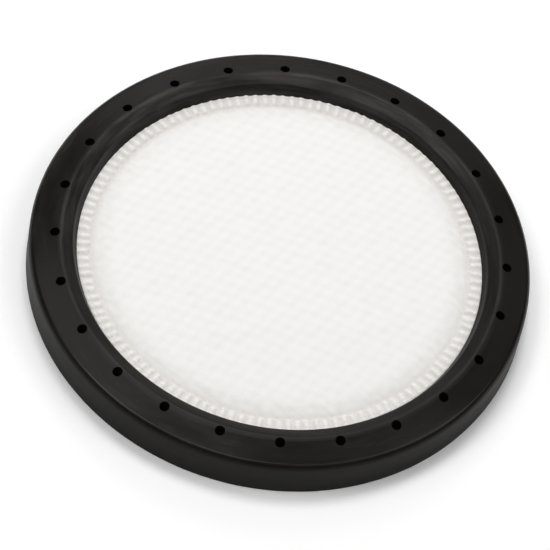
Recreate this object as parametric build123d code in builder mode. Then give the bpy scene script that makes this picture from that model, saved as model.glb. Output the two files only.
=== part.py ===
"""Round motor filter of a vacuum cleaner: a moulded rubber ring round a crowned fleece pad.

Millimetres, +Z up. The origin is the middle of the ring's foot, on which the filter lies.
The ring was moulded round the welded rim of the pad, so the ring's groove takes its sizes from that rim.
"""

import os
from math import radians, tan

from build123d import *

# Rubber ring: outside and top
outer_diameter = 130.0
ring_height = 13.0              # foot to the ridge, the highest circle of the ring
slope_width = 8.0               # from the outer wall in to the ridge
slope_angle = 14.5              # degrees that the face with the holes falls away outwards
bevel_width = 3.2               # from the ridge in to the lip of the opening
bevel_angle = 25.0              # degrees that the bevel falls away inwards
rim_rounding = 1.8
foot_rounding = 0.25
ridge_rounding = 0.5
lip_rounding = 1.2

# Rubber ring: opening
throat_overlap = 1.2            # how far the wall over the pad leans in, from the lip down to the throat
foot_flare = 0.6                # how far the wall under the pad leans back out, from the throat to the foot

# Blind holes left by the mould's pins
hole_count = 24
hole_offset = 1.5               # from the ridge out to the middle of a hole
hole_diameter = 2.5
hole_depth = 5.0                # measured on the hole's axis, from the slope down

# Fleece pad: rim that the ring grips
rim_bottom = 6.9                # height of the rim's underside above the foot
rim_thickness = 1.6
rim_grip = 3.8                  # how far the rim reaches into the ring past the throat
rim_clearance = 0.2             # between the rim's edge and the bottom of the groove

# Fleece pad: crown and underside
crown_rise = 4.1                # middle of the pad above the rim
shoulder_width = 4.3            # steeper edge of the crown
shoulder_rise = 1.2
belly_drop = 2.1                # middle of the underside below the rim

# Weld ribs on the flat band between the throat and the crown
rib_count = 132
rib_length = 3.2
rib_width = 1.6
rib_height = 0.5
rib_corner = 0.5                # cut off each corner of a rib's outline
rib_flank = 30.0                # degrees that a rib's sides lean from upright
rib_gap = 0.2                   # from the ribs' outer ends to the throat
valley_width = 0.4              # from the ribs' inner ends to the foot of the crown

# Heights and radii that follow from the sizes above
outer_radius = outer_diameter / 2
ridge_radius = outer_radius - slope_width
lip_radius = ridge_radius - bevel_width
throat_radius = lip_radius - throat_overlap
foot_opening_radius = throat_radius + foot_flare
hole_circle_radius = ridge_radius + hole_offset
rim_top = rim_bottom + rim_thickness
rim_radius = throat_radius + rim_grip
groove_radius = rim_radius + rim_clearance
rim_edge_height = ring_height - slope_width * tan(radians(slope_angle))
lip_height = ring_height - bevel_width * tan(radians(bevel_angle))
hole_mouth_height = ring_height - hole_offset * tan(radians(slope_angle))
rib_outer = throat_radius - rib_gap
rib_inner = rib_outer - rib_length
crown_radius = rib_inner - valley_width
shoulder_radius = crown_radius - shoulder_width


def corner(sketch, radius, height):
    """Return the vertex of a section sketch that lies nearest to a radius and height."""
    return sketch.vertices().sort_by_distance((radius, height, 0))[0]


# Rubber ring: one section turned about the axis, then the ring of blind holes
with BuildPart() as seal_ring:
    with BuildSketch(Plane.XZ) as ring_section:
        with BuildLine():
            Polyline(
                (foot_opening_radius, 0),
                (outer_radius, 0),
                (outer_radius, rim_edge_height),
                (ridge_radius, ring_height),
                (lip_radius, lip_height),
                (throat_radius, rim_top),
                (groove_radius, rim_top),
                (groove_radius, rim_bottom),
                (throat_radius, rim_bottom),
                close=True,
            )
        make_face()
        fillet(corner(ring_section, outer_radius, 0), foot_rounding)
        fillet(corner(ring_section, outer_radius, rim_edge_height), rim_rounding)
        fillet(corner(ring_section, ridge_radius, ring_height), ridge_rounding)
        fillet(corner(ring_section, lip_radius, lip_height), lip_rounding)
    revolve(axis=Axis.Z)
    with Locations((0, 0, ring_height)):
        with PolarLocations(hole_circle_radius, hole_count):
            Hole(hole_diameter / 2, depth=ring_height - hole_mouth_height + hole_depth)

# Fleece pad: crown, weld band, rim and underside in one section, then the ribs
with BuildPart() as fleece_pad:
    with BuildSketch(Plane.XZ) as pad_section:
        with BuildLine():
            crown = TangentArc(
                (0, rim_top + crown_rise),
                (shoulder_radius, rim_top + shoulder_rise),
                tangent=(1, 0),
            )
            shoulder = TangentArc(crown @ 1, (crown_radius, rim_top), tangent=crown % 1)
            Polyline(
                shoulder @ 1,
                (rim_radius, rim_top),
                (rim_radius, rim_bottom),
                (crown_radius, rim_bottom),
            )
            belly = TangentArc(
                (0, rim_bottom - belly_drop),
                (crown_radius, rim_bottom),
                tangent=(1, 0),
            )
            Line(belly @ 0, crown @ 0)
        make_face()
    revolve(axis=Axis.Z)
    with BuildSketch(mode=Mode.PRIVATE) as rib_outline:
        Rectangle(rib_length, rib_width)
        chamfer(rib_outline.vertices(), rib_corner)
    with BuildSketch(Plane.XY.offset(rim_top)):
        with PolarLocations((rib_inner + rib_outer) / 2, rib_count):
            add(rib_outline.sketch)
    extrude(amount=rib_height, taper=rib_flank)

seal_ring.part.label = "seal_ring"
fleece_pad.part.label = "fleece_pad"

os.makedirs("parts", exist_ok=True)
export_step(seal_ring.part, "parts/seal_ring.step")
export_step(fleece_pad.part, "parts/fleece_pad.step")
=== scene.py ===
"""Studio picture of a round vacuum motor filter: a black rubber ring round a white crowned fleece pad.

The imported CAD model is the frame: +Z up, the origin in the middle of the ring's foot. Sizes are written in
millimetres and become metres where a mesh, a material, a lamp or the camera is made.
"""

import logging
from dataclasses import dataclass, field
from enum import Enum
from math import atan2, ceil, cos, dist, pi, radians, sin, tan
from typing import Any

import bmesh
import bpy
import numpy as np
from mathutils import Matrix, Vector


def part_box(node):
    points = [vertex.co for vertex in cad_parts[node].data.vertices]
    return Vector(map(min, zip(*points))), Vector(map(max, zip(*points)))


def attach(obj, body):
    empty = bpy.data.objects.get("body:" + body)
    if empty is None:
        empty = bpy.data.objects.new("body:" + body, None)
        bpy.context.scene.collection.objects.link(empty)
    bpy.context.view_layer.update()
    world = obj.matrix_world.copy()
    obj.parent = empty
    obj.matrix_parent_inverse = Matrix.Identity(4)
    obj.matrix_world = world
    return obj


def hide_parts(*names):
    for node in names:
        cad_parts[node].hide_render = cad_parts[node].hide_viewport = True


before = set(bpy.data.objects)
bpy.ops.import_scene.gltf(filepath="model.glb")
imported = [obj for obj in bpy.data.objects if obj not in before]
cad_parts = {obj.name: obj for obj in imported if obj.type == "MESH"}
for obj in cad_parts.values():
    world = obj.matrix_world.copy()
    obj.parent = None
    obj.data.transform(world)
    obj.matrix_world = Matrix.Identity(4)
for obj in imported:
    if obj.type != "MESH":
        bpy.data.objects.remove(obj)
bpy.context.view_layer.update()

MM = 0.001
BODY = "root"
WHITE = "#ffffff"
SOFT_STEP = {"interpolation_type": "SMOOTHSTEP"}
COLOUR_MIX = {"data_type": "RGBA"}  # its two colours are inputs 6 and 7, and the mixed one is output 2
SHORTEST_WAVE = 0.6                 # shortest wave of a set, as a share of the set's typical length
WAVE_SPREAD = 1.1                   # how much longer the longest may be, as a share of the same
Point = tuple[float, float]
log = logging.getLogger("motor_filter")


class Slot(Enum):
    """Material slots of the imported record."""

    RUBBER = "rubber"
    FLEECE = "fleece"


class Trait(Enum):
    """Values that a mesh carries at each vertex for its material to read."""

    PRESSED = "pressed"


class Side(Enum):
    """Sides of the pad, as the height that marks its points before they are shaped."""

    TOP = 1.0
    UNDER = -1.0


def linear(hex_colour: str) -> tuple[float, float, float, float]:
    """Turn an sRGB hex colour to linear light.

    Args:
        hex_colour: Colour such as "#1b1a19".

    Returns:
        Red, green and blue in linear light, and an alpha of 1.
    """
    channels = [int(hex_colour[i:i + 2], 16) / 255 for i in (1, 3, 5)]
    red, green, blue = (c / 12.92 if c <= 0.04045 else ((c + 0.055) / 1.055) ** 2.4 for c in channels)
    return red, green, blue, 1.0


def add_node(tree: bpy.types.NodeTree, kind: str, settings: dict[str, Any] | None = None,
             **inputs: Any) -> bpy.types.Node:
    """Add a node with its settings, values and links.

    Args:
        tree: Node tree that takes the node.
        kind: Type name of the node, such as "ShaderNodeMath".
        settings: Properties of the node itself.
        inputs: Sockets by name, with _ for a space, or by number as in _0. A node gives its first output, an
            output socket is linked, and anything else is set as the socket's value.

    Returns:
        The new node.
    """
    node = tree.nodes.new(kind)
    for name, value in (settings or {}).items():
        setattr(node, name, value)
    for name, value in inputs.items():
        key: str | int = int(name[1:]) if name[1:].isdigit() else name.replace("_", " ")
        if isinstance(value, bpy.types.Node):
            value = value.outputs[0]
        if isinstance(value, bpy.types.NodeSocket):
            tree.links.new(value, node.inputs[key])
        else:
            node.inputs[key].default_value = value
    return node


def new_material(name: str) -> tuple[bpy.types.Material, bpy.types.NodeTree]:
    """Make an empty node material.

    Args:
        name: Name of the material.

    Returns:
        The material and its node tree.
    """
    material = bpy.data.materials.new(name)
    material.use_nodes = True
    material.node_tree.nodes.clear()
    return material, material.node_tree


def seen_ray(tree: bpy.types.NodeTree) -> bpy.types.Node:
    """Tell rays that show the background from rays that only carry its light.

    Args:
        tree: Node tree that takes the nodes.

    Returns:
        Node whose value is 1 for the camera, for reflections and for what is seen through glass, and else 0.
    """
    ray = add_node(tree, "ShaderNodeLightPath")
    mirrored = add_node(tree, "ShaderNodeMath", {"operation": "MAXIMUM"}, _0=ray.outputs["Is Camera Ray"],
                        _1=ray.outputs["Is Glossy Ray"])
    return add_node(tree, "ShaderNodeMath", {"operation": "MAXIMUM"}, _0=mirrored,
                    _1=ray.outputs["Is Transmission Ray"])


@dataclass(frozen=True)
class MouldedRubber:
    """Black rubber, compression moulded: dull satin, with thin brown dust and painted sheen in smears.

    The mould leaves a very fine grain. The dust colour is laid in smears round the ring, on the bevel, the
    ridge and the rounded rim, most on one side of the ring, so those look a little lighter and browner than
    the slope between them. It is partly dust from handling and partly painted light: a painted sheen on the
    bevel and painted highlights along the ridge and the rim. The ridge and the bevel are worn and the outer
    wall is scuffed, so a gleam spreads softly over them.
    """

    name: str = "black_moulded_rubber"
    colour: str = "#181614"
    ior: float = 1.5
    gloss: float = 0.14             # the grain takes most of the shine that a smooth face would have
    roughness_low: float = 0.2      # on clean rubber
    roughness_high: float = 0.3     # in the middle of a smear
    grain: float = 0.5              # drawn coarser than the mould's own grain, which is too fine to show
    grain_depth: float = 0.006
    grain_detail: float = 2.0
    wall_top: float = 10.6          # height under which the outer wall is scuffed dull
    wall_fade: float = 0.5
    wall_gloss: float = 0.10
    wall_roughness: float = 0.5
    worn_edge: float = 57.3         # radius inside which the ridge and the bevel are worn dull
    worn_fade: float = 1.0
    worn_roughness: float = 0.42
    smear_turn: float = 16.0        # degrees that a smear runs round the ring
    smear_width: float = 2.2
    smear_detail: float = 4.0
    smear_raggedness: float = 0.6
    smear_start: float = 0.3        # noise under which the rubber is clean
    smear_full: float = 0.75        # noise over which a smear is at its thickest
    # colour of the dust, also used for the painted sheen and highlights on the bevel, the ridge and the rim
    dust_and_sheen: str = "#45413e"
    slope_dust: float = 0.05        # share of the surface that dust covers in a smear on the slope
    bevel_dust_and_sheen: float = 0.42        # the same on the bevel, where it is dust and painted sheen
    bevel_edge: float = 55.8        # radius inside which the bevel takes its dust and painted sheen
    bevel_fade: float = 1.3
    ridge_painted_highlight: float = 0.45        # painted highlight along the ridge, in the dust's colour, which it has besides
    ridge_line: float = 56.8        # radius of the ridge
    ridge_fade: float = 1.0
    rim_dust_and_highlight: float = 0.1           # what the rim has besides: dust and a painted highlight
    rim_edge: float = 64.0          # radius outside which the rim takes its dust and painted highlight
    rim_fade: float = 2.4
    dust_and_sheen_turn: float = 105.0        # angle of the side on which most dust and painted sheen lie
    dust_and_sheen_start: float = -0.3        # cosine of the angle from that side at which the dust and painted sheen start to thicken
    dust_and_sheen_full: float = 0.9          # cosine at which it is thickest
    dust_and_sheen_least: float = 0.5
    dust_and_sheen_most: float = 1.7

    def material(self) -> bpy.types.Material:
        """Build the node material.

        Returns:
            The finished material.
        """
        material, tree = new_material(self.name)
        place = add_node(tree, "ShaderNodeTexCoord").outputs["Object"]
        axes = add_node(tree, "ShaderNodeSeparateXYZ", _0=place)
        height = axes.outputs["Z"]
        flat = add_node(tree, "ShaderNodeCombineXYZ", X=axes.outputs["X"], Y=axes.outputs["Y"])
        radius = add_node(tree, "ShaderNodeVectorMath", {"operation": "LENGTH"}, _0=flat).outputs["Value"]
        heading = add_node(tree, "ShaderNodeVectorMath", {"operation": "NORMALIZE"}, _0=flat)
        smear = self.smear(tree, heading, radius, height)
        dust_and_sheen_film = self.dust_and_sheen_film(tree, heading, radius, smear)
        tint = add_node(tree, "ShaderNodeMix", COLOUR_MIX, _0=dust_and_sheen_film, _6=linear(self.colour),
                        _7=linear(self.dust_and_sheen)).outputs[2]
        dull = add_node(tree, "ShaderNodeMapRange", Value=smear, To_Min=self.roughness_low,
                        To_Max=self.roughness_high)
        worn = add_node(tree, "ShaderNodeMapRange", SOFT_STEP, Value=radius, From_Min=self.worn_edge * MM,
                        From_Max=(self.worn_edge + self.worn_fade) * MM, To_Min=self.worn_roughness,
                        To_Max=dull)
        scuff = add_node(tree, "ShaderNodeMapRange", SOFT_STEP, Value=height, From_Min=self.wall_top * MM,
                         From_Max=(self.wall_top - self.wall_fade) * MM)
        rough = add_node(tree, "ShaderNodeMapRange", Value=scuff, To_Min=worn, To_Max=self.wall_roughness)
        gloss = add_node(tree, "ShaderNodeMapRange", Value=scuff, To_Min=self.gloss, To_Max=self.wall_gloss)
        grain = add_node(tree, "ShaderNodeTexNoise", Vector=place, Scale=1 / (self.grain * MM),
                         Detail=self.grain_detail)
        relief = add_node(tree, "ShaderNodeBump", Height=grain, Distance=self.grain_depth * MM, Strength=1.0)
        shader = add_node(tree, "ShaderNodeBsdfPrincipled", Base_Color=tint, Roughness=rough, IOR=self.ior,
                          Specular_IOR_Level=gloss, Normal=relief)
        add_node(tree, "ShaderNodeOutputMaterial", Surface=shader)
        return material

    def smear(self, tree: bpy.types.NodeTree, heading: bpy.types.Node, radius: bpy.types.NodeSocket,
              height: bpy.types.NodeSocket) -> bpy.types.Node:
        """Draw smears that run round the ring.

        Args:
            tree: Node tree that takes the nodes.
            heading: Node that gives the direction from the axis, of length 1.
            radius: Socket that gives the distance from the axis.
            height: Socket that gives the height.

        Returns:
            Node whose value is from 0 on clean rubber to 1 in the middle of a smear.
        """
        turn = add_node(tree, "ShaderNodeVectorMath", {"operation": "SCALE"}, _0=heading,
                        Scale=360 / (2 * pi * self.smear_turn))
        across = add_node(tree, "ShaderNodeMath", {"operation": "ADD"}, _0=radius, _1=height)
        widths = add_node(tree, "ShaderNodeMath", {"operation": "DIVIDE"}, _0=across,
                          _1=self.smear_width * MM)
        lift = add_node(tree, "ShaderNodeCombineXYZ", Z=widths)
        unrolled = add_node(tree, "ShaderNodeVectorMath", {"operation": "ADD"}, _0=turn, _1=lift)
        noise = add_node(tree, "ShaderNodeTexNoise", Vector=unrolled, Scale=1.0, Detail=self.smear_detail,
                         Roughness=self.smear_raggedness)
        return add_node(tree, "ShaderNodeMapRange", SOFT_STEP, Value=noise, From_Min=self.smear_start,
                        From_Max=self.smear_full)

    def dust_and_sheen_film(self, tree: bpy.types.NodeTree, heading: bpy.types.Node, radius: bpy.types.NodeSocket,
             smear: bpy.types.Node) -> bpy.types.Node:
        """Lay dust and painted sheen on the bevel, the ridge and the rim, thicker on one side of the ring.

        Args:
            tree: Node tree that takes the nodes.
            heading: Node that gives the direction from the axis, of length 1.
            radius: Socket that gives the distance from the axis.
            smear: Node whose value is from 0 on clean rubber to 1 in the middle of a smear.

        Returns:
            Node whose value is the share of the surface that the dust and painted sheen cover.
        """
        # dust and painted sheen on the bevel, fading to the slope's dust
        bevel = add_node(tree, "ShaderNodeMapRange", SOFT_STEP, Value=radius, From_Min=self.bevel_edge * MM,
                         From_Max=(self.bevel_edge + self.bevel_fade) * MM, To_Min=self.bevel_dust_and_sheen,
                         To_Max=self.slope_dust)
        # dust and a painted highlight towards the rounded rim
        rim = add_node(tree, "ShaderNodeMapRange", SOFT_STEP, Value=radius,
                       From_Min=(self.rim_edge - self.rim_fade) * MM, From_Max=self.rim_edge * MM,
                       To_Min=0.0, To_Max=self.rim_dust_and_highlight)
        past_ridge = add_node(tree, "ShaderNodeMath", {"operation": "SUBTRACT"}, _0=radius,
                              _1=self.ridge_line * MM)
        off_ridge = add_node(tree, "ShaderNodeMath", {"operation": "ABSOLUTE"}, _0=past_ridge)
        # painted highlight along the ridge, laid in the dust's colour
        ridge = add_node(tree, "ShaderNodeMapRange", SOFT_STEP, Value=off_ridge, From_Min=0.0,
                         From_Max=self.ridge_fade * MM, To_Min=self.ridge_painted_highlight, To_Max=0.0)
        edges = add_node(tree, "ShaderNodeMath", {"operation": "ADD"}, _0=rim, _1=ridge)
        lies = add_node(tree, "ShaderNodeMath", {"operation": "ADD"}, _0=bevel, _1=edges)
        dust_and_sheen_side = (cos(radians(self.dust_and_sheen_turn)), sin(radians(self.dust_and_sheen_turn)), 0.0)
        facing = add_node(tree, "ShaderNodeVectorMath", {"operation": "DOT_PRODUCT"}, _0=heading,
                          _1=dust_and_sheen_side).outputs["Value"]
        # one side of the ring takes more dust and painted sheen than the others
        dust_and_sheen_weight = add_node(tree, "ShaderNodeMapRange", SOFT_STEP, Value=facing, From_Min=self.dust_and_sheen_start,
                         From_Max=self.dust_and_sheen_full, To_Min=self.dust_and_sheen_least, To_Max=self.dust_and_sheen_most)
        patchy = add_node(tree, "ShaderNodeMath", {"operation": "MULTIPLY"}, _0=dust_and_sheen_weight, _1=smear)
        return add_node(tree, "ShaderNodeMath", {"operation": "MULTIPLY"}, _0=lies, _1=patchy)


@dataclass(frozen=True)
class BondedFleece:
    """White polyester fleece, thermally bonded: matt, warm white, fibrous, with a greyer pressed colour.

    Light soaks into the loose fibres, which softens the shade between the ribs. The pressed spots have less
    loft, so they look a little darker and warmer. The same colour also fills the gaps between the ribs and
    the valley before them, partly as the weld's own grey and partly as painted shade, and it is painted in
    as shade under the ring's lip, beside the weld band and in the hollows of its puckers.
    """

    name: str = "white_bonded_fleece"
    colour: str = "#f6f5f3"
    # colour of pressed fleece, also used to paint shade between the ribs, under the ring's lip and beside
    # the band
    pressed: str = "#dcd8d4"
    roughness: float = 0.95
    gloss: float = 0.2
    sheen: float = 0.12
    soak: float = 0.25              # share of the light that passes through the fibres
    soak_depth: float = 0.7
    soak_colours: tuple[float, float, float] = (1.0, 1.0, 1.0)  # red, green and blue light go equally deep
    fibre_width: float = 0.32       # drawn coarser than the fibres, which are too fine to show
    fibre_length: float = 3.0
    fibre_depth: float = 0.05
    fibre_detail: float = 2.0
    fibre_turns: tuple[float, ...] = (17.0, 78.0, 139.0)

    def material(self) -> bpy.types.Material:
        """Build the node material.

        Returns:
            The finished material.
        """
        material, tree = new_material(self.name)
        place = add_node(tree, "ShaderNodeTexCoord").outputs["Object"]
        relief = add_node(tree, "ShaderNodeBump", Height=self.fibres(tree, place),
                          Distance=self.fibre_depth * MM, Strength=1.0)
        pressed = add_node(tree, "ShaderNodeAttribute", {"attribute_name": Trait.PRESSED.value})
        tint = add_node(tree, "ShaderNodeMix", COLOUR_MIX, _0=pressed.outputs["Fac"], _6=linear(self.colour),
                        _7=linear(self.pressed)).outputs[2]
        shader = add_node(tree, "ShaderNodeBsdfPrincipled", Base_Color=tint, Roughness=self.roughness,
                          Specular_IOR_Level=self.gloss, Sheen_Weight=self.sheen,
                          Subsurface_Weight=self.soak, Subsurface_Radius=self.soak_colours,
                          Subsurface_Scale=self.soak_depth * MM, Normal=relief)
        add_node(tree, "ShaderNodeOutputMaterial", Surface=shader)
        return material

    def fibres(self, tree: bpy.types.NodeTree, place: bpy.types.NodeSocket) -> bpy.types.Node:
        """Lay stretched noise in a few directions over each other, as fibres lie.

        Args:
            tree: Node tree that takes the nodes.
            place: Socket that gives the place on the object in metres.

        Returns:
            Node whose value is the height of the fibres.
        """
        total: Any = 0.0
        fibre = (self.fibre_length * MM, self.fibre_width * MM, self.fibre_width * MM)
        for turn in self.fibre_turns:
            laid = add_node(tree, "ShaderNodeMapping", {"vector_type": "TEXTURE"}, Vector=place,
                            Rotation=(0.0, 0.0, radians(turn)), Scale=fibre)
            strand = add_node(tree, "ShaderNodeTexNoise", Vector=laid, Scale=1.0, Detail=self.fibre_detail)
            total = add_node(tree, "ShaderNodeMath", {"operation": "ADD"}, _0=strand, _1=total)
        return total


@dataclass(frozen=True)
class WhitePaper:
    """White studio paper, matt: it takes the shadow and goes to plain white in the picture."""

    name: str = "white_studio_paper"
    colour: str = "#f4f4f4"
    lift: str = "#666666"           # added where the floor is seen, so that the open floor is white

    def material(self) -> bpy.types.Material:
        """Build the node material.

        Returns:
            The finished material.
        """
        material, tree = new_material(self.name)
        paper = add_node(tree, "ShaderNodeBsdfDiffuse", Color=linear(self.colour))
        extra = add_node(tree, "ShaderNodeBsdfDiffuse", Color=linear(self.lift))
        both = add_node(tree, "ShaderNodeAddShader", _0=paper, _1=extra)
        shown = add_node(tree, "ShaderNodeMixShader", Fac=seen_ray(tree), _1=paper, _2=both)
        add_node(tree, "ShaderNodeOutputMaterial", Surface=shown)
        return material


class Surface:
    """Rows of points in millimetres, joined by faces and made into one mesh object."""

    def __init__(self) -> None:
        """Start with no points and no faces."""
        self.points: list[np.ndarray] = []
        self.faces: list[tuple[int, ...]] = []
        self.size = 0

    def row(self, points: np.ndarray) -> np.ndarray:
        """Add points.

        Args:
            points: Array of shape (count, 3).

        Returns:
            Numbers of the new points.
        """
        self.points.append(points)
        numbers = np.arange(self.size, self.size + len(points))
        self.size += len(points)
        return numbers

    def join(self, first: np.ndarray, second: np.ndarray) -> None:
        """Join two closed rows, of which one may have twice as many points as the other.

        Args:
            first: Point numbers of one row.
            second: Point numbers of the next row.
        """
        if len(first) == len(second):
            corners = zip(first, np.roll(first, -1), np.roll(second, -1), second)
            self.faces += [tuple(map(int, c)) for c in corners]
            return
        many, few = (first, second) if len(first) > len(second) else (second, first)
        start, middle, end = many[0::2], many[1::2], np.roll(many, -2)[0::2]
        follow = np.roll(few, -1)
        for triangle in ((start, middle, few), (middle, follow, few), (middle, end, follow)):
            self.faces += [tuple(map(int, c)) for c in zip(*triangle)]

    def skin(self, rows: list[np.ndarray]) -> None:
        """Join each closed row, given by its point numbers, to the one after it."""
        for row, following in zip(rows, rows[1:]):
            self.join(row, following)

    def close(self, row: np.ndarray, middle: np.ndarray) -> None:
        """Close a row, given by its point numbers, with triangles that meet in a new middle point."""
        tip = int(self.row(middle.reshape(1, 3))[0])
        self.faces += [(int(a), int(b), tip) for a, b in zip(row, np.roll(row, -1))]

    def place(self) -> np.ndarray:
        """Return every point so far as one array of shape (count, 3)."""
        return np.concatenate(self.points)

    def build(self, name: str, points: np.ndarray, sharp_angle: float) -> bpy.types.Object:
        """Make the mesh object, with its normals outwards.

        Args:
            name: Name of the object.
            points: All points in millimetres, in the order of their numbers.
            sharp_angle: Angle in degrees over which an edge stays sharp.

        Returns:
            The new object, in the scene.
        """
        mesh = bpy.data.meshes.new(name)
        mesh.from_pydata((points * MM).tolist(), [], self.faces)
        work = bmesh.new()
        work.from_mesh(mesh)
        bmesh.ops.recalc_face_normals(work, faces=work.faces)
        work.to_mesh(mesh)
        work.free()
        mesh.shade_smooth()
        mesh.set_sharp_from_angle(angle=radians(sharp_angle))
        piece = bpy.data.objects.new(name, mesh)
        bpy.context.collection.objects.link(piece)
        return piece


def lathe_row(radius: float, height: float, count: int) -> np.ndarray:
    """Return count points, evenly on a circle about the axis, as an array of shape (count, 3)."""
    turn = np.arange(count) * 2 * pi / count
    return np.column_stack((radius * np.cos(turn), radius * np.sin(turn), np.full(count, height)))


def cut_line(start: Point, end: Point, longest: float) -> list[Point]:
    """Cut a straight line into equal pieces.

    Args:
        start: Start of the line.
        end: End of the line.
        longest: Longest that a piece may be.

    Returns:
        The points between the two ends.
    """
    pieces = ceil(dist(start, end) / longest)
    shares = [part / pieces for part in range(1, pieces)]
    return [(start[0] + (end[0] - start[0]) * s, start[1] + (end[1] - start[1]) * s) for s in shares]


def rounded_corner(before: Point, corner: Point, after: Point, rounding: float, steps: int) -> list[Point]:
    """Round a corner of an outline with an arc.

    Args:
        before: Corner before this one.
        corner: The corner.
        after: Corner after this one.
        rounding: Radius of the arc, or 0 for a sharp corner.
        steps: How many pieces the arc is cut into.

    Returns:
        Points on the arc, from one side of the corner to the other.
    """
    if rounding == 0:
        return [corner]
    way_in, way_out = Vector(before) - Vector(corner), Vector(after) - Vector(corner)
    half = way_in.angle(way_out) / 2
    inwards = (way_in.normalized() + way_out.normalized()).normalized()
    centre = Vector(corner) + inwards * (rounding / sin(half))
    touch_in = Vector(corner) + way_in.normalized() * (rounding / tan(half))
    touch_out = Vector(corner) + way_out.normalized() * (rounding / tan(half))
    start, end = touch_in - centre, touch_out - centre
    first = atan2(start.y, start.x)
    sweep = (atan2(end.y, end.x) - first + pi) % (2 * pi) - pi
    turns = [first + sweep * i / steps for i in range(steps + 1)]
    return [(centre.x + rounding * cos(t), centre.y + rounding * sin(t)) for t in turns]


def smooth(start: float | np.ndarray, end: float | np.ndarray, value: np.ndarray) -> np.ndarray:
    """Return 0 before start, 1 after end, and a soft step between them."""
    share = np.clip((value - start) / (end - start), 0, 1)
    return share * share * (3 - 2 * share)


def waves(seeds: np.ndarray, length: float, x: np.ndarray, y: np.ndarray) -> np.ndarray:
    """Add up crossing waves of several lengths.

    Args:
        seeds: Heading and phase of each wave.
        length: Typical length of a wave in millimetres.
        x: First coordinate of each point.
        y: Second coordinate of each point.

    Returns:
        Value at each point, mostly between -1 and 1.
    """
    total = np.zeros_like(x)
    for number, (heading, phase) in enumerate(seeds):
        scale = 2 * pi / (length * (SHORTEST_WAVE + WAVE_SPREAD * number / len(seeds)))
        total += np.sin((x * cos(heading) + y * sin(heading)) * scale + phase)
    return total / np.sqrt(len(seeds) * 2)


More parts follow.
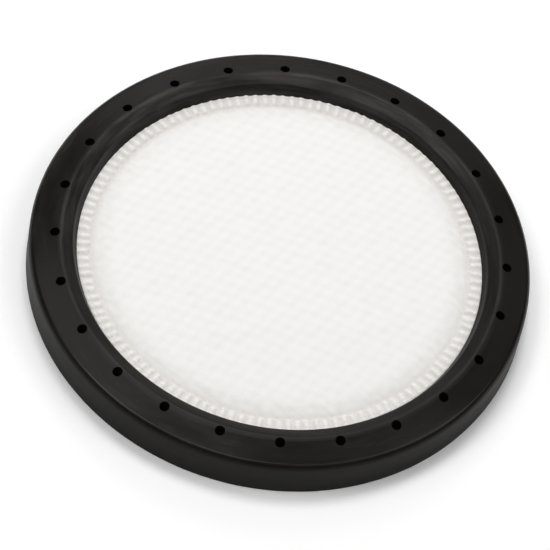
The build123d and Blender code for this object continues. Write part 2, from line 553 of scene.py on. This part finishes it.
@dataclass
class SealRing:
    """Moulded rubber ring with a groove for the pad's rim and a circle of blind holes in its slope."""

    finish: MouldedRubber
    name: str = "rubber_seal_ring"
    node: str = "seal_ring"
    slope_width: float = 8.2
    slope_angle: float = 14.5
    bevel_width: float = 3.0
    bevel_angle: float = 27.2
    rim_rounding: float = 1.8
    foot_rounding: float = 0.25
    ridge_rounding: float = 1.8     # the worn ridge is softer than the one in the frame, and a little lower
    ridge_sink: float = 0.03
    lip_rounding: float = 1.2
    throat_overlap: float = 1.2
    foot_flare: float = 0.6
    rim_bottom: float = 6.9
    rim_top: float = 8.5
    groove_depth: float = 4.0
    hole_count: int = 24
    hole_offset: float = 1.7
    hole_diameter: float = 2.5
    hole_depth: float = 5.0
    hole_chamfer: float = 0.06
    hole_margin: float = 0.03       # between a hole's mouth and the nearest circle of points inside it
    hole_border: float = 0.5        # between a hole and the nearest circle of points outside it
    # How far out each closed row round a hole lies, from the sector's edge to the hole's mouth
    patch_shares: tuple[float, ...] = (0.88, 0.75, 0.62, 0.5, 0.38, 0.26, 0.14, 0.06, 0.0)
    wall_rows: int = 5
    steps_per_hole: int = 32
    steps_beside_hole: int = 8
    longest_step: float = 1.5
    arc_steps: int = 12
    sharp_angle: float = 32.0
    warp: float = 0.2               # how far the soft ring is out of round
    warp_turn: float = 50.0         # angle at which it reaches out furthest
    warp_lobes: int = 3
    ripple: float = 0.1             # how far the top of the soft ring sinks in places
    # Waves of the ripple: how many round the ring, how strong, and their phase
    ripple_waves: tuple[tuple[int, float, float], ...] = ((5, 1.0, 1.3), (11, 0.6, 0.2), (17, 0.5, 5.1))
    outer_radius: float = field(init=False)
    ridge_radius: float = field(init=False)
    lip_radius: float = field(init=False)
    throat_radius: float = field(init=False)
    ring_height: float = field(init=False)
    hole_radius: float = field(init=False)
    hole_floor: float = field(init=False)

    def __post_init__(self) -> None:
        """Take the outer size from the frame, and work out the rest of the section."""
        low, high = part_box(self.node)
        self.outer_radius = (high[0] - low[0]) / 2 / MM
        self.ridge_radius = self.outer_radius - self.slope_width
        self.lip_radius = self.ridge_radius - self.bevel_width
        self.throat_radius = self.lip_radius - self.throat_overlap
        self.ring_height = high[2] / MM - self.ridge_sink + self.ridge_loss()
        self.hole_radius = self.ridge_radius + self.hole_offset
        self.hole_floor = float(self.slope_height(self.hole_radius)) - self.hole_depth

    def ridge_loss(self) -> float:
        """Work out how far the ridge's rounding lowers its top.

        Returns:
            From the corner that the slope and the bevel would make down to the rounding's top.
        """
        lean = radians(self.slope_angle - self.bevel_angle) / 2
        half = radians(self.slope_angle + self.bevel_angle) / 2
        return self.ridge_rounding * (cos(lean) / cos(half) - 1)

    def slope_height(self, radius: float | np.ndarray) -> np.ndarray:
        """Work out the height of the outward slope and of the ridge's rounding above it.

        Args:
            radius: Radius of each point, from the top of the ridge outwards.

        Returns:
            Height of each point.
        """
        slope, bevel = radians(self.slope_angle), radians(self.bevel_angle)
        back = self.ridge_rounding / (1 + cos(slope + bevel))
        middle = self.ridge_radius - back * (sin(slope) - sin(bevel))
        level = self.ring_height - back * (cos(slope) + cos(bevel))
        arc = level + np.sqrt(np.maximum(self.ridge_rounding ** 2 - (radius - middle) ** 2, 0))
        straight = self.ring_height - (radius - self.ridge_radius) * tan(slope)
        return np.where(radius < middle + self.ridge_rounding * sin(slope), arc, straight)

    def section(self, slope_start: float) -> list[Point]:
        """Lay the section's outline, from the slope out round the ring and back up to the ridge.

        Args:
            slope_start: Radius on the slope at which the outline starts.

        Returns:
            Radius and height of each point. The last is on the ridge's rounding, just inside the holes.
        """
        groove = self.throat_radius + self.groove_depth
        lip_height = self.ring_height - self.bevel_width * tan(radians(self.bevel_angle))
        start = (slope_start, float(self.slope_height(slope_start)))
        corners = [
            ((self.outer_radius, float(self.slope_height(self.outer_radius))), self.rim_rounding),
            ((self.outer_radius, 0.0), self.foot_rounding),
            ((self.throat_radius + self.foot_flare, 0.0), 0.0),
            ((self.throat_radius, self.rim_bottom), 0.0),
            ((groove, self.rim_bottom), 0.0),
            ((groove, self.rim_top), 0.0),
            ((self.throat_radius, self.rim_top), 0.0),
            ((self.lip_radius, lip_height), self.lip_rounding),
            ((self.ridge_radius, self.ring_height), self.ridge_rounding),
        ]
        places = [start, *(place for place, _ in corners), start]
        outline = [start]
        for number, (corner, rounding) in enumerate(corners, 1):
            arc = rounded_corner(places[number - 1], corner, places[number + 1], rounding, self.arc_steps)
            outline += cut_line(outline[-1], arc[0], self.longest_step)
            outline += arc
        hole_edge = self.hole_radius - self.hole_diameter / 2 - self.hole_chamfer
        while outline[-1][0] > hole_edge - self.hole_margin:
            outline.pop()
        return outline

    def build(self) -> bpy.types.Object:
        """Build the ring's mesh and dress it.

        Returns:
            The ring, which stands for its CAD node.
        """
        count = self.hole_count * self.steps_per_hole
        slope_start = self.hole_radius + self.hole_diameter / 2 + self.hole_border
        surface = Surface()
        rows = [surface.row(lathe_row(*point, count)) for point in self.section(slope_start)]
        surface.skin(rows)
        self.drill(surface, rows[-1], rows[0])
        piece = surface.build(self.name, self.warped(surface.place()), self.sharp_angle)
        self.dress(piece)
        return piece

    def dress(self, piece: bpy.types.Object) -> None:
        """Give the ring its finish, and let it stand for its CAD node.

        Args:
            piece: The ring.
        """
        piece.data.materials.append(self.finish.material())
        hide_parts(self.node)
        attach(piece, BODY)

    def drill(self, surface: Surface, inner: np.ndarray, outer: np.ndarray) -> None:
        """Fill the slope between two rows, with a blind hole in the middle of each sector.

        Args:
            surface: Surface that takes the points and faces.
            inner: Point numbers of the row at the ridge.
            outer: Point numbers of the row outside the holes.
        """
        steps, sides, half = self.steps_per_hole, self.steps_beside_hole, self.steps_per_hole // 2
        place = surface.place()
        shares = np.arange(1, sides)[:, None] / sides
        borders = []
        for sector in range(self.hole_count):
            at = sector * steps + half
            flat = (place[inner[at]] * (1 - shares) + place[outer[at]] * shares)[:, :2]
            borders.append(surface.row(np.column_stack((flat, self.slope_height(np.hypot(*flat.T))))))
        place = surface.place()
        for sector in range(self.hole_count):
            around = np.arange(sector * steps - half, sector * steps + half + 1) % len(inner)
            before, after = borders[sector - 1], borders[sector]
            edge = np.concatenate((inner[around], after, outer[around][::-1], before[::-1]))
            self.hole(surface, edge, place[edge], 2 * pi * sector / self.hole_count)

    def hole(self, surface: Surface, edge: np.ndarray, place: np.ndarray, turn: float) -> None:
        """Join the edge of one sector to its hole, and sink the hole.

        Args:
            surface: Surface that takes the points and faces.
            edge: Point numbers round the sector.
            place: Places of those points.
            turn: Angle of the hole's middle about the ring's axis.
        """
        middle = np.array((self.hole_radius * cos(turn), self.hole_radius * sin(turn)))
        away = place[:, :2] - middle
        unit = away / np.linalg.norm(away, axis=1)[:, None]
        mouth = middle + unit * (self.hole_diameter / 2 + self.hole_chamfer)
        last = edge
        for share in self.patch_shares:
            flat = mouth + (place[:, :2] - mouth) * share
            last = self.lower(surface, last, flat, self.slope_height(np.hypot(*flat.T)))
        wall = middle + unit * self.hole_diameter / 2
        top = self.slope_height(np.hypot(*wall.T)) - self.hole_chamfer
        for share in np.linspace(0, 1, self.wall_rows):
            last = self.lower(surface, last, wall, top + (self.hole_floor - top) * share)
        surface.close(last, np.array((*middle, self.hole_floor)))

    def lower(self, surface: Surface, last: np.ndarray, flat: np.ndarray, height: np.ndarray) -> np.ndarray:
        """Add one closed row and join it to the row before.

        Args:
            surface: Surface that takes the points and faces.
            last: Point numbers of the row before.
            flat: Places of the new points seen from above.
            height: Heights of the new points.

        Returns:
            Point numbers of the new row.
        """
        row = surface.row(np.column_stack((flat, height)))
        surface.join(last, row)
        return row

    def warped(self, points: np.ndarray) -> np.ndarray:
        """Draw the ring, or the pad that it holds, a little out of round, as soft rubber lies.

        Args:
            points: All points of the piece.

        Returns:
            The moved points. The foot stays flat.
        """
        turn = np.arctan2(points[:, 1], points[:, 0])
        wave = np.cos(self.warp_lobes * (turn - radians(self.warp_turn)))
        crests = sum(size * np.sin(count * turn + phase) for count, size, phase in self.ripple_waves)
        ripple = crests / sum(size for _, size, _ in self.ripple_waves)
        lift = np.clip(points[:, 2] / self.ring_height, 0, 1)
        edge = np.clip(np.hypot(points[:, 0], points[:, 1]) / self.outer_radius, 0, 1)
        moved = points.copy()
        moved[:, :2] *= (1 - self.warp * (1 - wave) / self.outer_radius)[:, None]
        moved[:, 2] -= self.ripple * (0.5 + 0.5 * ripple) * (lift * edge) ** 2
        return moved


@dataclass
class FleecePad:
    """Crowned fleece pad with bond marks, a ribbed weld band and a thin rim in the ring's groove."""

    finish: BondedFleece
    ring: SealRing
    name: str = "fleece_filter_pad"
    node: str = "fleece_pad"
    crown_rise: float = 4.1
    shoulder_width: float = 4.3
    shoulder_rise: float = 1.2
    shoulder_run: float = 1.5       # how far the shoulder's curve is followed, as a share of its width
    belly_drop: float = 2.1
    rim_ease: float = 0.03          # keeps the hidden rim off the groove's faces
    rib_count: int = 132
    rib_length: float = 3.4
    rib_height: float = 0.5
    rib_crest: float = 0.12         # share of half a pitch from a rib's middle to the edge of its top
    rib_foot: float = 0.95          # share of half a pitch from its middle to its foot
    rib_start: float = 0.3          # from where a rib begins to rise to its inner end
    rib_full: float = 0.8           # from its inner end to where it has its whole height
    rib_notch: float = 0.35         # share of a rib's height that is lost where its outer end is nipped
    rib_notch_place: float = 0.95   # from the ribs' outer ends to the notch
    rib_notch_width: float = 0.25
    rib_unevenness: float = 0.12
    rib_drift: float = 0.5          # most that a rib is off its place, times the unevenness, in pitches
    rib_lean: float = 1.0           # most that it leans from end to end, times the unevenness, in pitches
    rib_stray: float = 0.25         # most that its inner end is off the circle
    tuck_start: float = -0.18       # from the throat to where the ribs begin to sink under the ring
    tuck_end: float = 0.02          # from the throat to where they are gone
    band_start: float = 1.6         # from where the weld begins to show to the crown's foot
    band_full: float = 0.4          # from the ribs' inner ends to where it shows in full
    valley_width: float = 0.4
    valley_depth: float = 0.12
    valley_rounding: float = 0.3
    valley_run: float = 0.6         # from the ribs' inner ends to where the valley has come up to the band
    edge_zone_reach: float = 7.0        # how far in from the weld band the painted shade and the puckers reach
    edge_painted_shade: float = 0.28        # painted shade beside the band, as a share of the pressed colour
    press_rib: float = 0.36         # how much is lost on top of the ribs; the gaps and the valley take the pressed colour in full, partly as painted shade
    press_fuzz: float = 0.15        # how much more or less is lost from spot to spot on the band
    throat_painted_shade: float = 0.25      # painted shade where the ribs go under the ring
    throat_shade_reach: float = 1.6       # how far in from the throat that painted shade begins
    pucker_length: float = 3.2
    pucker_height: float = 0.05
    # painted shade in the puckers' hollows, and painted light on their crests
    pucker_painted_shade: float = 0.12
    bond_turn: float = 17.0         # degrees from +X to the rows of bond marks
    bond_pitch: float = 5.4
    bond_row: float = 1.88
    bond_depth: float = 0.025
    bond_press: float = 0.135       # how much of its loft the fleece loses in a mark
    bond_unevenness: float = 0.45
    bond_most: float = 2.0          # how many times as deep as usual the deepest mark may be
    bond_reach: float = 2.0         # how far past the start of the shoulder the marks begin to fade
    lump_height: float = 0.06
    lump_length: float = 11.0
    lump_count: int = 10
    belly_lumps: float = 0.5        # height of the lumps on the underside, as a share of those on top
    fuzz_height: float = 0.05
    fuzz_length: float = 1.5
    fuzz_count: int = 14
    steps_per_rib: int = 8
    steps_under_rib: int = 2        # the same on the underside and at the rim's edge
    fewest_steps: int = 16          # a circle with no more points than this is not halved
    halving: float = 0.84           # how small a circle gets, for its points, before they are halved
    band_step: float = 0.22
    band_lap: float = 0.05          # from the throat out to the first circle of the fine band
    band_run: float = 1.0           # how far in from the crown's foot the fine band goes on
    crown_step: float = 0.45
    under_coarseness: int = 3       # how many times as long the steps of the underside are
    middle_gap: float = 1.5         # steps from the last circle to the middle
    sharp_angle: float = 180.0      # the fleece has no sharp edge
    seed: int = 7
    rim_radius: float = field(init=False)
    rim_top: float = field(init=False)
    rim_bottom: float = field(init=False)
    rib_outer: float = field(init=False)
    rib_inner: float = field(init=False)
    crown_radius: float = field(init=False)
    shoulder_radius: float = field(init=False)
    tall: np.ndarray = field(init=False)
    shift: np.ndarray = field(init=False)
    lean: np.ndarray = field(init=False)
    short: np.ndarray = field(init=False)
    lump_waves: np.ndarray = field(init=False)
    fuzz_waves: np.ndarray = field(init=False)

    def __post_init__(self) -> None:
        """Work out the pad's radii from the ring that holds it, and draw the random part of each rib."""
        low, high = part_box(self.node)
        self.rim_radius = (high[0] - low[0]) / 2 / MM
        self.rim_top = self.ring.rim_top
        self.rim_bottom = self.ring.rim_bottom
        self.rib_outer = self.ring.throat_radius
        self.rib_inner = self.rib_outer - self.rib_length
        self.crown_radius = self.rib_inner - self.valley_width
        self.shoulder_radius = self.crown_radius - self.shoulder_width
        random = np.random.default_rng(self.seed)
        self.tall = 1 + self.rib_unevenness * random.normal(size=self.rib_count)
        self.shift = self.rib_unevenness * random.uniform(-self.rib_drift, self.rib_drift, self.rib_count)
        self.lean = self.rib_unevenness * random.uniform(-self.rib_lean, self.rib_lean, self.rib_count)
        self.short = random.uniform(-self.rib_stray, self.rib_stray, self.rib_count)
        self.lump_waves = random.uniform(0, 2 * pi, (self.lump_count, 2))
        self.fuzz_waves = random.uniform(0, 2 * pi, (self.fuzz_count, 2))

    def build(self) -> bpy.types.Object:
        """Build the pad's mesh and dress it.

        Returns:
            The pad, which stands for its CAD node.
        """
        surface = Surface()
        top = self.lay(surface, Side.TOP)
        under = self.lay(surface, Side.UNDER)
        surface.skin(top)
        surface.skin(under)
        surface.join(top[0], under[0])
        surface.close(top[-1], np.array((0.0, 0.0, Side.TOP.value)))
        surface.close(under[-1], np.array((0.0, 0.0, Side.UNDER.value)))
        points, pressed = self.shaped(surface.place())
        piece = surface.build(self.name, self.ring.warped(points), self.sharp_angle)
        self.dress(piece, pressed)
        return piece

    def dress(self, piece: bpy.types.Object, pressed: np.ndarray) -> None:
        """Give the pad its finish, and let it stand for its CAD node.

        Args:
            piece: The pad.
            pressed: How much of the pressed colour each point takes, for real pressing and for painted
                shade.
        """
        trait = piece.data.attributes.new(Trait.PRESSED.value, "FLOAT", "POINT")
        trait.data.foreach_set("value", pressed.astype(np.float32))
        piece.data.materials.append(self.finish.material())
        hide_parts(self.node)
        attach(piece, BODY)

    def lay(self, surface: Surface, side: Side) -> list[np.ndarray]:
        """Lay one side's circles, marked with their side, and return the point numbers of each."""
        return [surface.row(lathe_row(radius, side.value, count)) for radius, count in self.circles(side)]

    def circles(self, side: Side) -> list[tuple[float, int]]:
        """Plan circles from the rim's edge to the middle, with fewer points where they get small.

        Args:
            side: Side of the pad. The top is finer than the underside.

        Returns:
            Radius and number of points of each circle.
        """
        fine = side is Side.TOP
        steps = self.steps_per_rib if fine else self.steps_under_rib
        band_step = self.band_step * self.steps_per_rib / steps
        crown_step = self.crown_step * (1 if fine else self.under_coarseness)
        edge_count = self.rib_count * self.steps_under_rib
        circles = [(self.rim_radius, edge_count)]
        if fine:
            circles.append(((self.rim_radius + self.rib_outer) / 2, 2 * edge_count))
        full = self.rib_count * steps
        count = full
        radius = self.rib_outer + self.band_lap
        while radius > self.middle_gap * crown_step:
            crowded = radius < self.shoulder_radius * self.halving * count / full
            if crowded and count > self.fewest_steps and count % 2 == 0:
                count //= 2
            circles.append((radius, count))
            radius -= band_step if radius > self.crown_radius - self.band_run else crown_step
        return circles

    def shaped(self, points: np.ndarray) -> tuple[np.ndarray, np.ndarray]:
        """Give every point its height.

        Args:
            points: Points whose height is the mark of their side.

        Returns:
            The points in place, and how much of the pressed colour each takes, from 0 to 1: for real
            pressing, and for painted shade.
        """
        x, y, mark = points.T
        radius = np.hypot(x, y)
        on_top = mark == Side.TOP.value
        fuzz = waves(self.fuzz_waves, self.fuzz_length, x, y)
        open_fleece = 1 - smooth(self.shoulder_radius + self.bond_reach, self.crown_radius, radius)
        strength = 1 + self.bond_unevenness * waves(self.lump_waves, self.bond_pitch, x, y)
        marks = self.bond_marks(x, y) * np.clip(strength, 0, self.bond_most) * open_fleece
        ribs, gaps, band = self.ribs(radius, np.arctan2(y, x))
        lumps = self.lump_height * waves(self.lump_waves, self.lump_length, x, y) * open_fleece
        # zone beside the weld band that takes painted shade and the puckers
        edge_zone = smooth(self.crown_radius - self.edge_zone_reach, self.crown_radius, radius) * (1 - band)
        puckers = waves(self.fuzz_waves, self.pucker_length, x, y) * edge_zone
        top = self.crown(radius) + ribs + lumps - self.bond_depth * marks + self.fuzz_height * fuzz * band
        top += self.pucker_height * puckers
        under = self.belly(radius) + self.belly_lumps * lumps + self.bond_depth * marks
        hidden = radius > self.rib_outer
        top = np.where(hidden, np.minimum(top, self.rim_top - self.rim_ease), top)
        under = np.where(hidden, self.rim_bottom + self.rim_ease, under)
        # painted shade under the ring's lip, darker towards the throat
        throat = self.throat_painted_shade * smooth(self.rib_outer - self.throat_shade_reach, self.rib_outer, radius)
        # gaps between the ribs and the valley before them take the pressed colour in full: the weld's own
        # grey, and painted shade
        weld_and_shade = band * (self.press_rib + (1 - self.press_rib) * gaps + self.press_fuzz * fuzz + throat)
        # painted shade beside the weld band, darker in the puckers' hollows and lighter on their crests
        edge = self.edge_painted_shade * edge_zone - self.pucker_painted_shade * puckers
        # pressed colour for the weld and the bond marks, with the painted shade beside the band and under
        # the lip
        pressed = np.where(on_top, edge + weld_and_shade, 0) + self.bond_press * marks
        return np.column_stack((x, y, np.where(on_top, top, under))), np.clip(pressed, 0, 1)

    def crown(self, radius: np.ndarray) -> np.ndarray:
        """Work out the height of the top without its ribs: a dome, a steeper shoulder and the weld band.

        Args:
            radius: Radius of each point.

        Returns:
            Height of each point.
        """
        fall = self.crown_rise - self.shoulder_rise
        ball = (self.shoulder_radius ** 2 + fall ** 2) / (2 * fall)
        inside = np.minimum(radius, self.shoulder_radius)
        dome = self.rim_top + self.crown_rise - ball + np.sqrt(ball ** 2 - inside ** 2)
        share = np.clip((radius - self.shoulder_radius) / self.shoulder_width, 0, self.shoulder_run)
        slope = self.shoulder_radius / np.sqrt(ball ** 2 - self.shoulder_radius ** 2)
        straight_fall = slope * self.shoulder_width
        edge = self.rim_top + self.shoulder_rise - straight_fall * share
        edge -= (self.shoulder_rise - straight_fall + self.valley_depth) * share ** 2
        risen = smooth(self.crown_radius, self.rib_inner + self.valley_run, radius)
        band = self.rim_top - self.valley_depth * (1 - risen)
        rounded = (edge + band + np.sqrt((edge - band) ** 2 + self.valley_rounding ** 2)) / 2
        outside = np.where(share < self.shoulder_run, rounded, band)
        return np.where(radius < self.shoulder_radius, dome, outside)

    def belly(self, radius: np.ndarray) -> np.ndarray:
        """Return the height of the underside at each radius."""
        share = np.clip(radius / self.crown_radius, 0, 1)
        return self.rim_bottom - self.belly_drop * (1 - share ** 2)

    def ribs(self, radius: np.ndarray, turn: np.ndarray) -> tuple[np.ndarray, np.ndarray, np.ndarray]:
        """Raise the weld ribs, each a little uneven and nipped near its outer end.

        Args:
            radius: Radius of each point.
            turn: Angle of each point about the axis.

        Returns:
            Height of the ribs at each point, how far it is between ribs, and how far it is on the band.
        """
        along = np.clip((radius - self.rib_inner) / self.rib_length, 0, 1)
        pitch = (turn / (2 * pi) * self.rib_count) % self.rib_count
        number = np.round(pitch).astype(int) % self.rib_count
        across = (pitch - np.round(pitch)) - self.shift[number] - self.lean[number] * (along - 0.5)
        profile = 1 - smooth(self.rib_crest, self.rib_foot, 2 * np.abs(across))
        inner_end = self.rib_inner + self.short[number]
        ends = smooth(inner_end - self.rib_start, inner_end + self.rib_full, radius)
        notch = np.exp(-((radius - self.rib_outer + self.rib_notch_place) / self.rib_notch_width) ** 2)
        raised = profile * ends * (1 - self.rib_notch * notch)
        tuck = 1 - smooth(self.tuck_start, self.tuck_end, radius - self.rib_outer)
        band = smooth(self.crown_radius - self.band_start, self.rib_inner + self.band_full, radius)
        return self.rib_height * self.tall[number] * raised * tuck, 1 - raised, band

    def bond_marks(self, x: np.ndarray, y: np.ndarray) -> np.ndarray:
        """Lay the staggered rows of bond marks, shallow dips that give the fleece a quilted look.

        Args:
            x: First coordinate of each point.
            y: Second coordinate of each point.

        Returns:
            From 0 off the marks to 1 in the middle of one.
        """
        heading = radians(self.bond_turn)
        along = x * cos(heading) + y * sin(heading)
        across = y * cos(heading) - x * sin(heading)
        return 0.5 + 0.5 * np.cos(2 * pi * along / self.bond_pitch) * np.cos(pi * across / self.bond_row)


@dataclass(frozen=True)
class SoftBox:
    """Large even lamp of the studio, placed in millimetres and aimed at the filter."""

    name: str
    place: tuple[float, float, float]
    width: float
    height: float
    glow: float                     # brightness of its face, where 1 is white

    def build(self) -> bpy.types.Object:
        """Make the lamp.

        Returns:
            The lamp, in the scene.
        """
        lamp = bpy.data.lights.new(self.name, "AREA")
        lamp.shape = "RECTANGLE"
        lamp.size = self.width * MM
        lamp.size_y = self.height * MM
        lamp.energy = self.glow * pi * lamp.size * lamp.size_y
        box = bpy.data.objects.new(self.name, lamp)
        box.location = Vector(self.place) * MM
        box.rotation_euler = (-box.location).to_track_quat("-Z", "Y").to_euler()
        box.visible_camera = False
        bpy.context.collection.objects.link(box)
        return box


@dataclass(frozen=True)
class Camera:
    """Camera at the photograph's viewing angle. The long lens gives the photograph's flat perspective."""

    name: str = "photo_camera"
    elevation: float = 54.79        # degrees that it looks down
    heading: float = 9.28           # degrees from +Y towards +X
    roll: float = 12.14             # degrees that its right side is tipped up
    distance: float = 1091.0        # to the aim
    aim: tuple[float, float, float] = (-1.90, -8.07, 12.61)
    lens: float = 280.0
    sensor: float = 36.0
    nearest: float = 10.0           # distance under which it sees nothing

    def build(self) -> bpy.types.Object:
        """Make the camera and give it to the scene.

        Returns:
            The camera.
        """
        down, side, tip = radians(self.elevation), radians(self.heading), radians(self.roll)
        forward = Vector((cos(down) * sin(side), cos(down) * cos(side), -sin(down)))
        level = Vector((cos(side), -sin(side), 0.0))
        over = level.cross(forward)
        right = level * cos(tip) + over * sin(tip)
        up = over * cos(tip) - level * sin(tip)
        data = bpy.data.cameras.new(self.name)
        data.lens = self.lens
        data.sensor_width = self.sensor
        data.clip_start = self.nearest * MM
        camera = bpy.data.objects.new(self.name, data)
        camera.matrix_world = Matrix((right, up, -forward)).transposed().to_4x4()
        camera.location = (Vector(self.aim) - forward * self.distance) * MM
        bpy.context.collection.objects.link(camera)
        bpy.context.scene.camera = camera
        return camera


@dataclass
class Studio:
    """White paper floor, soft lamps, an even dim room and the camera."""

    paper: WhitePaper
    floor_name: str = "paper_floor"
    floor_size: float = 30000.0
    room_name: str = "white_room"
    room_light: float = 0.06
    backdrop_low: float = 2.0       # degrees above the floor up to which the room's backdrop is white
    backdrop_high: float = 5.0      # degrees above the floor at which it has gone dark
    lamps: tuple[SoftBox, ...] = (
        SoftBox("top_box", (0.0, 1170.0, 3410.0), 1000.0, 1000.0, 12.8),
        SoftBox("far_box", (0.0, 2840.0, 2220.0), 1270.0, 1270.0, 2.2),
        SoftBox("far_low_box", (0.0, 3260.0, 1520.0), 3810.0, 1270.0, 0.5),
        SoftBox("near_top_box", (-450.0, -820.0, 3480.0), 1270.0, 1270.0, 3.7),
        SoftBox("near_right_box", (1080.0, -1080.0, 3260.0), 1270.0, 1270.0, 1.4),
        SoftBox("left_box", (-1610.0, -60.0, 3220.0), 1000.0, 1000.0, 8.0),
        SoftBox("left_low_box", (-2550.0, 0.0, 2550.0), 1270.0, 1270.0, 1.0),
        SoftBox("right_box", (2110.0, -110.0, 2910.0), 1270.0, 1800.0, 2.9),
        SoftBox("far_left_box", (-1270.0, 1270.0, 3120.0), 1270.0, 1270.0, 1.8),
        SoftBox("far_right_box", (1600.0, 1900.0, 2500.0), 1270.0, 1270.0, 0.5),
    )
    camera: Camera = Camera()

    def build(self) -> None:
        """Make the floor, the lamps, the room's light and the camera."""
        self.lay_floor()
        self.light_room()
        for lamp in self.lamps:
            lamp.build()
        self.camera.build()
        bpy.context.scene.view_settings.view_transform = "Standard"

    def lay_floor(self) -> None:
        """Lay the paper floor under the ring's foot."""
        half = self.floor_size / 2
        mesh = bpy.data.meshes.new(self.floor_name)
        corners = [(-half, -half), (half, -half), (half, half), (-half, half)]
        mesh.from_pydata([(x * MM, y * MM, 0.0) for x, y in corners], [], [(0, 1, 2, 3)])
        mesh.materials.append(self.paper.material())
        floor = bpy.data.objects.new(self.floor_name, mesh)
        bpy.context.collection.objects.link(floor)

    def light_room(self) -> None:
        """Give the room a dim even light, and a white backdrop where the camera or a reflection sees it."""
        world = bpy.data.worlds.new(self.room_name)
        bpy.context.scene.world = world
        world.use_nodes = True
        tree = world.node_tree
        tree.nodes.clear()
        toward = add_node(tree, "ShaderNodeTexCoord").outputs["Generated"]
        rise = add_node(tree, "ShaderNodeSeparateXYZ", _0=toward).outputs["Z"]
        low, high = sin(radians(self.backdrop_low)), sin(radians(self.backdrop_high))
        backdrop = add_node(tree, "ShaderNodeMapRange", SOFT_STEP, Value=rise, From_Min=low, From_Max=high,
                            To_Min=1.0, To_Max=0.0)
        shown = add_node(tree, "ShaderNodeMath", {"operation": "MULTIPLY"}, _0=backdrop, _1=seen_ray(tree))
        level = add_node(tree, "ShaderNodeMapRange", Value=shown, To_Min=self.room_light, To_Max=1.0)
        sky = add_node(tree, "ShaderNodeBackground", Color=linear(WHITE), Strength=level)
        add_node(tree, "ShaderNodeOutputWorld", Surface=sky)


def main() -> None:
    """Build the filter and the studio round it, and report each piece."""
    logging.basicConfig(level=logging.INFO, format="%(name)s: %(message)s")
    ring = SealRing(MouldedRubber())
    pad = FleecePad(BondedFleece(), ring)
    for piece in (ring.build(), pad.build()):
        log.info("%s: %d faces", piece.name, len(piece.data.polygons))
    studio = Studio(WhitePaper())
    studio.build()
    log.info("studio: %d lamps, camera %.0f mm away", len(studio.lamps), studio.camera.distance)


if __name__ == "__main__":
    main()
